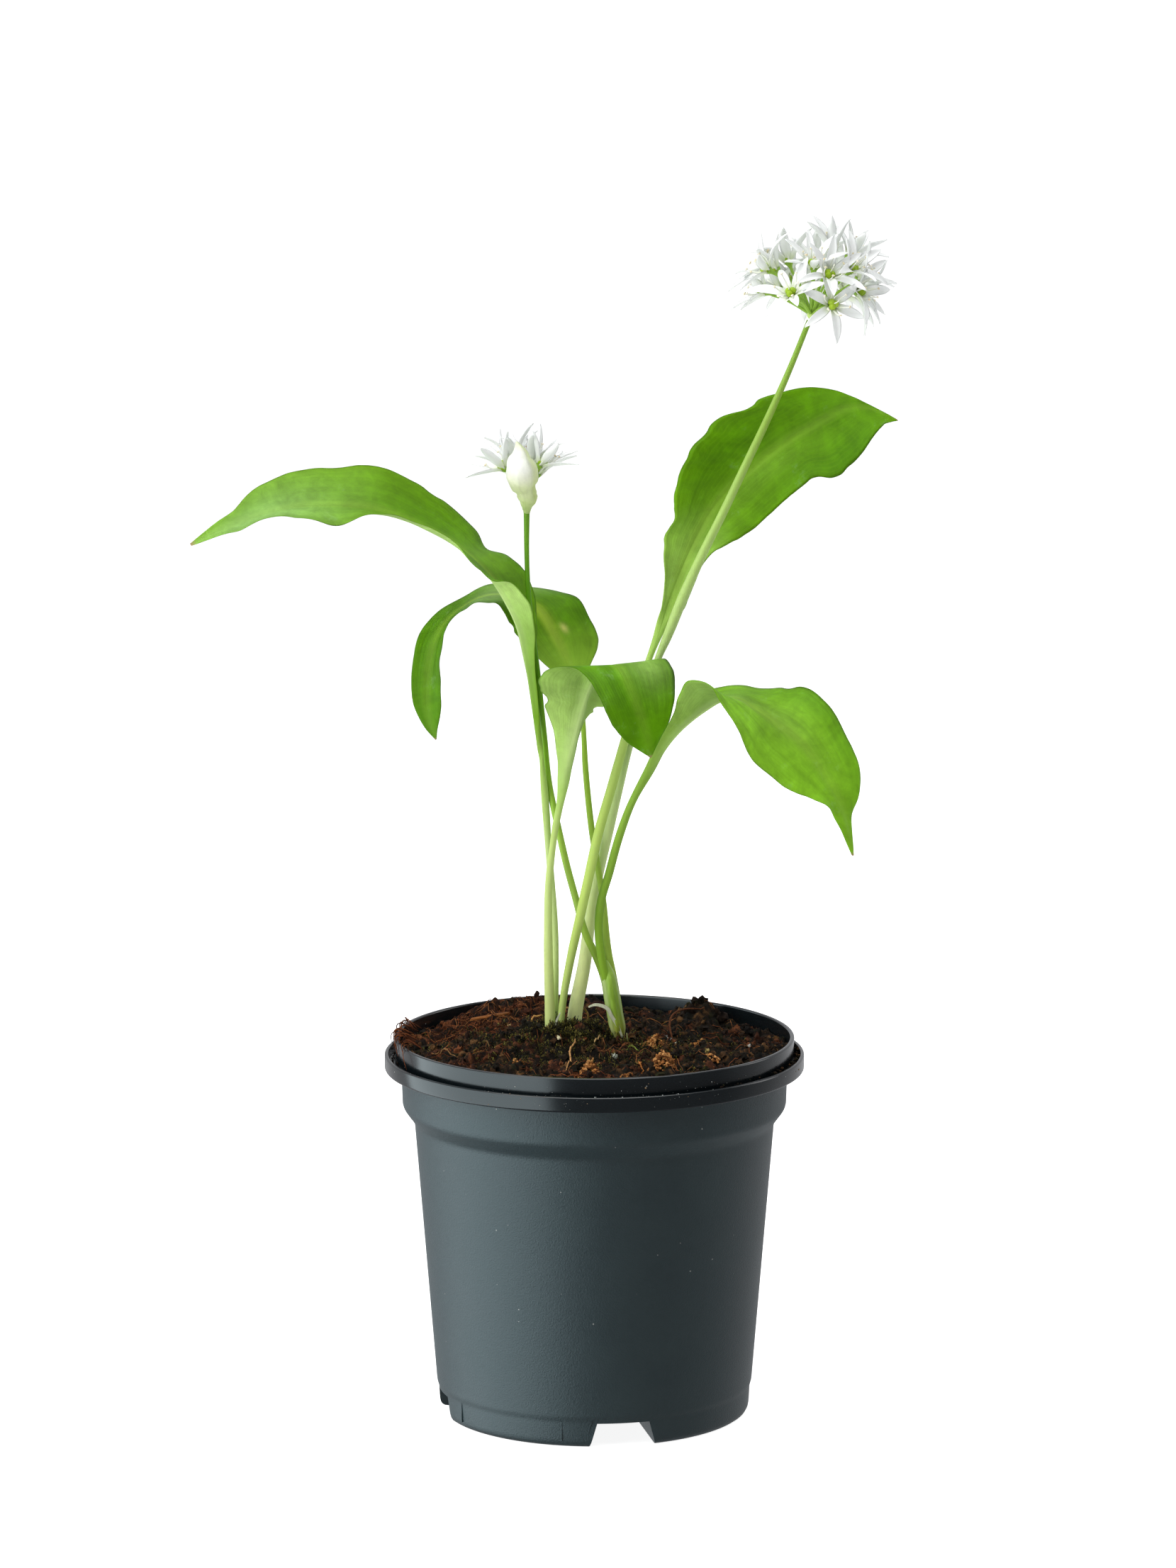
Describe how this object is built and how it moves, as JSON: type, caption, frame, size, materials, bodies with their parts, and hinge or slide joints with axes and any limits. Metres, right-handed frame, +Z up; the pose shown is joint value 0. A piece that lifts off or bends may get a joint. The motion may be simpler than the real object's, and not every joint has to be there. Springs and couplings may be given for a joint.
{
  "type": "potted wild garlic plant",
  "caption": "Flowering wild garlic with broad arching leaves and white starry flower heads, rooted in peat in a round tapered plastic nursery pot.",
  "frame": {"origin": "centre of the pot's base, on the surface that the pot stands on", "axes": "+Z up along the pot's axis, -Y towards the viewer of the front, +X to that viewer's right"},
  "size_m": [0.1984, 0.12, 0.3438],
  "materials": {
    "pot_plastic": "satin, fine grain",
    "peat": "crumbly, fibrous, matte",
    "leaf": "satin, veined",
    "stem": "satin",
    "flower": "soft, slightly see-through",
    "spathe": "papery, satin"
  },
  "bodies": {
    "root": {"pot": "pot_plastic", "soil": "peat", "leaf_left": "leaf", "leaf_back": "leaf", "leaf_centre": "leaf", "leaf_right": "leaf", "leaf_tall": "leaf", "scape_tall": "stem", "scape_small": "stem", "umbel_tall": "flower", "umbel_small": "flower", "spathe_small": "spathe"}
  },
  "joints": []
}
